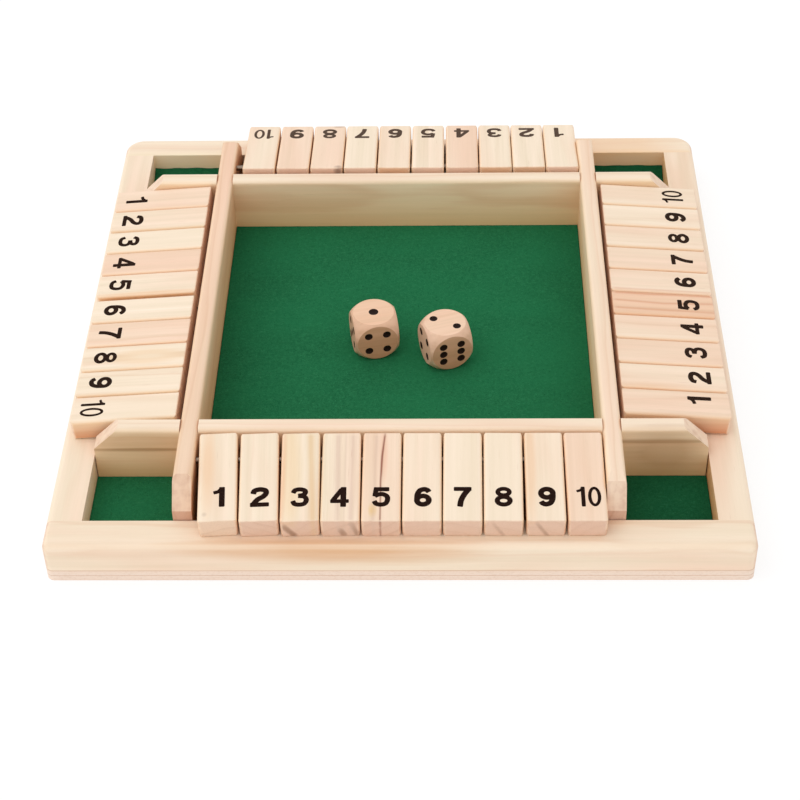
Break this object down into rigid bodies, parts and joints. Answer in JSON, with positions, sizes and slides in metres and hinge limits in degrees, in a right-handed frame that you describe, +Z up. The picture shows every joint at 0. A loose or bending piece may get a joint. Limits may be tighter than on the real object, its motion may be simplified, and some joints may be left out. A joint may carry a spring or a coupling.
{
  "type": "shut the box game",
  "caption": "Square shut the box game for several players: felted dice tray in a low pine frame, with a row of numbered flip tiles on a steel rod along each side.",
  "frame": {"origin": "centre of the box's underside, on the surface that it stands on", "axes": "+Z up, +Y from the front player to the rear player, +X to the front player's right"},
  "size_m": [0.224, 0.224, 0.0279],
  "materials": {
    "panel_ply": "sanded, unvarnished",
    "frame_pine": "sanded, unvarnished",
    "rail_pine": "sanded, unvarnished",
    "tile_pine": "sanded, unvarnished",
    "felt": "short green felt",
    "rod_steel": "bright drawn wire",
    "die_wood": "sanded, with black pips"
  },
  "bodies": {
    "board": {"bottom_panel": "panel_ply", "felt_tray": "felt", "felt_well_front_left": "felt", "felt_well_front_right": "felt", "felt_well_rear_right": "felt", "felt_well_rear_left": "felt", "frame_front": "frame_pine", "frame_rear": "frame_pine", "frame_left": "frame_pine", "frame_right": "frame_pine", "rail_front": "rail_pine", "rail_rear": "rail_pine", "rail_left": "rail_pine", "rail_right": "rail_pine", "rod_front": "rod_steel", "rod_rear": "rod_steel", "rod_left": "rod_steel", "rod_right": "rod_steel"},
    "tile_front_1": {"tile_front_1": "tile_pine"},
    "tile_front_2": {"tile_front_2": "tile_pine"},
    "tile_front_3": {"tile_front_3": "tile_pine"},
    "tile_front_4": {"tile_front_4": "tile_pine"},
    "tile_front_5": {"tile_front_5": "tile_pine"},
    "tile_front_6": {"tile_front_6": "tile_pine"},
    "tile_front_7": {"tile_front_7": "tile_pine"},
    "tile_front_8": {"tile_front_8": "tile_pine"},
    "tile_front_9": {"tile_front_9": "tile_pine"},
    "tile_front_10": {"tile_front_10": "tile_pine"},
    "tile_right_1": {"tile_right_1": "tile_pine"},
    "tile_right_2": {"tile_right_2": "tile_pine"},
    "tile_right_3": {"tile_right_3": "tile_pine"},
    "tile_right_4": {"tile_right_4": "tile_pine"},
    "tile_right_5": {"tile_right_5": "tile_pine"},
    "tile_right_6": {"tile_right_6": "tile_pine"},
    "tile_right_7": {"tile_right_7": "tile_pine"},
    "tile_right_8": {"tile_right_8": "tile_pine"},
    "tile_right_9": {"tile_right_9": "tile_pine"},
    "tile_right_10": {"tile_right_10": "tile_pine"},
    "tile_rear_1": {"tile_rear_1": "tile_pine"},
    "tile_rear_2": {"tile_rear_2": "tile_pine"},
    "tile_rear_3": {"tile_rear_3": "tile_pine"},
    "tile_rear_4": {"tile_rear_4": "tile_pine"},
    "tile_rear_5": {"tile_rear_5": "tile_pine"},
    "tile_rear_6": {"tile_rear_6": "tile_pine"},
    "tile_rear_7": {"tile_rear_7": "tile_pine"},
    "tile_rear_8": {"tile_rear_8": "tile_pine"},
    "tile_rear_9": {"tile_rear_9": "tile_pine"},
    "tile_rear_10": {"tile_rear_10": "tile_pine"},
    "tile_left_1": {"tile_left_1": "tile_pine"},
    "tile_left_2": {"tile_left_2": "tile_pine"},
    "tile_left_3": {"tile_left_3": "tile_pine"},
    "tile_left_4": {"tile_left_4": "tile_pine"},
    "tile_left_5": {"tile_left_5": "tile_pine"},
    "tile_left_6": {"tile_left_6": "tile_pine"},
    "tile_left_7": {"tile_left_7": "tile_pine"},
    "tile_left_8": {"tile_left_8": "tile_pine"},
    "tile_left_9": {"tile_left_9": "tile_pine"},
    "tile_left_10": {"tile_left_10": "tile_pine"},
    "die_left": {"die_left": "die_wood"},
    "die_right": {"die_right": "die_wood"}
  },
  "joints": [
    {"name": "tile_front_1_flip", "type": "hinge", "parent": "board", "child": "tile_front_1", "pos_m": [-0.05795, -0.0807, 0.0227], "axis": [-1, 0, 0], "range_deg": [0, 141]},
    {"name": "tile_front_2_flip", "type": "hinge", "parent": "board", "child": "tile_front_2", "pos_m": [-0.0447, -0.0807, 0.0227], "axis": [-1, 0, 0], "range_deg": [0, 141]},
    {"name": "tile_front_3_flip", "type": "hinge", "parent": "board", "child": "tile_front_3", "pos_m": [-0.03145, -0.0807, 0.0227], "axis": [-1, 0, 0], "range_deg": [0, 141]},
    {"name": "tile_front_4_flip", "type": "hinge", "parent": "board", "child": "tile_front_4", "pos_m": [-0.0184, -0.0807, 0.0227], "axis": [-1, 0, 0], "range_deg": [0, 141]},
    {"name": "tile_front_5_flip", "type": "hinge", "parent": "board", "child": "tile_front_5", "pos_m": [-0.00545, -0.0807, 0.0227], "axis": [-1, 0, 0], "range_deg": [0, 141]},
    {"name": "tile_front_6_flip", "type": "hinge", "parent": "board", "child": "tile_front_6", "pos_m": [0.0074, -0.0807, 0.0227], "axis": [-1, 0, 0], "range_deg": [0, 141]},
    {"name": "tile_front_7_flip", "type": "hinge", "parent": "board", "child": "tile_front_7", "pos_m": [0.02025, -0.0807, 0.0227], "axis": [-1, 0, 0], "range_deg": [0, 141]},
    {"name": "tile_front_8_flip", "type": "hinge", "parent": "board", "child": "tile_front_8", "pos_m": [0.0331, -0.0807, 0.0227], "axis": [-1, 0, 0], "range_deg": [0, 141]},
    {"name": "tile_front_9_flip", "type": "hinge", "parent": "board", "child": "tile_front_9", "pos_m": [0.04605, -0.0807, 0.0227], "axis": [-1, 0, 0], "range_deg": [0, 141]},
    {"name": "tile_front_10_flip", "type": "hinge", "parent": "board", "child": "tile_front_10", "pos_m": [0.0588, -0.0807, 0.0227], "axis": [-1, 0, 0], "range_deg": [0, 130]},
    {"name": "tile_right_1_flip", "type": "hinge", "parent": "board", "child": "tile_right_1", "pos_m": [0.0807, -0.05569, 0.0213], "axis": [0, -1, 0], "range_deg": [0, 132]},
    {"name": "tile_right_2_flip", "type": "hinge", "parent": "board", "child": "tile_right_2", "pos_m": [0.0807, -0.04294, 0.0213], "axis": [0, -1, 0], "range_deg": [0, 132]},
    {"name": "tile_right_3_flip", "type": "hinge", "parent": "board", "child": "tile_right_3", "pos_m": [0.0807, -0.03019, 0.0213], "axis": [0, -1, 0], "range_deg": [0, 132]},
    {"name": "tile_right_4_flip", "type": "hinge", "parent": "board", "child": "tile_right_4", "pos_m": [0.0807, -0.01744, 0.0213], "axis": [0, -1, 0], "range_deg": [0, 132]},
    {"name": "tile_right_5_flip", "type": "hinge", "parent": "board", "child": "tile_right_5", "pos_m": [0.0807, -0.00469, 0.0213], "axis": [0, -1, 0], "range_deg": [0, 132]},
    {"name": "tile_right_6_flip", "type": "hinge", "parent": "board", "child": "tile_right_6", "pos_m": [0.0807, 0.00806, 0.0213], "axis": [0, -1, 0], "range_deg": [0, 132]},
    {"name": "tile_right_7_flip", "type": "hinge", "parent": "board", "child": "tile_right_7", "pos_m": [0.0807, 0.02081, 0.0213], "axis": [0, -1, 0], "range_deg": [0, 132]},
    {"name": "tile_right_8_flip", "type": "hinge", "parent": "board", "child": "tile_right_8", "pos_m": [0.0807, 0.03356, 0.0213], "axis": [0, -1, 0], "range_deg": [0, 132]},
    {"name": "tile_right_9_flip", "type": "hinge", "parent": "board", "child": "tile_right_9", "pos_m": [0.0807, 0.04631, 0.0213], "axis": [0, -1, 0], "range_deg": [0, 132]},
    {"name": "tile_right_10_flip", "type": "hinge", "parent": "board", "child": "tile_right_10", "pos_m": [0.0807, 0.05906, 0.0213], "axis": [0, -1, 0], "range_deg": [0, 132]},
    {"name": "tile_rear_1_flip", "type": "hinge", "parent": "board", "child": "tile_rear_1", "pos_m": [0.05917, 0.0807, 0.0229], "axis": [1, 0, 0], "range_deg": [0, 122]},
    {"name": "tile_rear_2_flip", "type": "hinge", "parent": "board", "child": "tile_rear_2", "pos_m": [0.04657, 0.0807, 0.0229], "axis": [1, 0, 0], "range_deg": [0, 142]},
    {"name": "tile_rear_3_flip", "type": "hinge", "parent": "board", "child": "tile_rear_3", "pos_m": [0.03397, 0.0807, 0.0229], "axis": [1, 0, 0], "range_deg": [0, 142]},
    {"name": "tile_rear_4_flip", "type": "hinge", "parent": "board", "child": "tile_rear_4", "pos_m": [0.02123, 0.0807, 0.0229], "axis": [1, 0, 0], "range_deg": [0, 142]},
    {"name": "tile_rear_5_flip", "type": "hinge", "parent": "board", "child": "tile_rear_5", "pos_m": [0.00817, 0.0807, 0.0229], "axis": [1, 0, 0], "range_deg": [0, 142]},
    {"name": "tile_rear_6_flip", "type": "hinge", "parent": "board", "child": "tile_rear_6", "pos_m": [-0.00477, 0.0807, 0.0229], "axis": [1, 0, 0], "range_deg": [0, 142]},
    {"name": "tile_rear_7_flip", "type": "hinge", "parent": "board", "child": "tile_rear_7", "pos_m": [-0.01762, 0.0807, 0.0229], "axis": [1, 0, 0], "range_deg": [0, 142]},
    {"name": "tile_rear_8_flip", "type": "hinge", "parent": "board", "child": "tile_rear_8", "pos_m": [-0.03037, 0.0807, 0.0229], "axis": [1, 0, 0], "range_deg": [0, 142]},
    {"name": "tile_rear_9_flip", "type": "hinge", "parent": "board", "child": "tile_rear_9", "pos_m": [-0.04322, 0.0807, 0.0229], "axis": [1, 0, 0], "range_deg": [0, 142]},
    {"name": "tile_rear_10_flip", "type": "hinge", "parent": "board", "child": "tile_rear_10", "pos_m": [-0.05618, 0.0807, 0.0229], "axis": [1, 0, 0], "range_deg": [0, 142]},
    {"name": "tile_left_1_flip", "type": "hinge", "parent": "board", "child": "tile_left_1", "pos_m": [-0.0812, 0.05906, 0.0213], "axis": [0, 1, 0], "range_deg": [0, 127]},
    {"name": "tile_left_2_flip", "type": "hinge", "parent": "board", "child": "tile_left_2", "pos_m": [-0.0812, 0.04631, 0.0213], "axis": [0, 1, 0], "range_deg": [0, 134]},
    {"name": "tile_left_3_flip", "type": "hinge", "parent": "board", "child": "tile_left_3", "pos_m": [-0.0812, 0.03356, 0.0213], "axis": [0, 1, 0], "range_deg": [0, 134]},
    {"name": "tile_left_4_flip", "type": "hinge", "parent": "board", "child": "tile_left_4", "pos_m": [-0.0812, 0.02081, 0.0213], "axis": [0, 1, 0], "range_deg": [0, 134]},
    {"name": "tile_left_5_flip", "type": "hinge", "parent": "board", "child": "tile_left_5", "pos_m": [-0.0812, 0.00806, 0.0213], "axis": [0, 1, 0], "range_deg": [0, 134]},
    {"name": "tile_left_6_flip", "type": "hinge", "parent": "board", "child": "tile_left_6", "pos_m": [-0.0812, -0.00604, 0.0213], "axis": [0, 1, 0], "range_deg": [0, 134]},
    {"name": "tile_left_7_flip", "type": "hinge", "parent": "board", "child": "tile_left_7", "pos_m": [-0.0812, -0.01879, 0.0213], "axis": [0, 1, 0], "range_deg": [0, 134]},
    {"name": "tile_left_8_flip", "type": "hinge", "parent": "board", "child": "tile_left_8", "pos_m": [-0.0812, -0.03154, 0.0213], "axis": [0, 1, 0], "range_deg": [0, 134]},
    {"name": "tile_left_9_flip", "type": "hinge", "parent": "board", "child": "tile_left_9", "pos_m": [-0.0812, -0.04429, 0.0213], "axis": [0, 1, 0], "range_deg": [0, 134]},
    {"name": "tile_left_10_flip", "type": "hinge", "parent": "board", "child": "tile_left_10", "pos_m": [-0.0812, -0.05704, 0.0213], "axis": [0, 1, 0], "range_deg": [0, 126]},
    {"name": "die_left_lift", "type": "slide", "parent": "board", "child": "die_left", "axis": [0, 0, 1], "range_m": [0, 0.05]},
    {"name": "die_right_lift", "type": "slide", "parent": "board", "child": "die_right", "axis": [0, 0, 1], "range_m": [0, 0.05]}
  ]
}
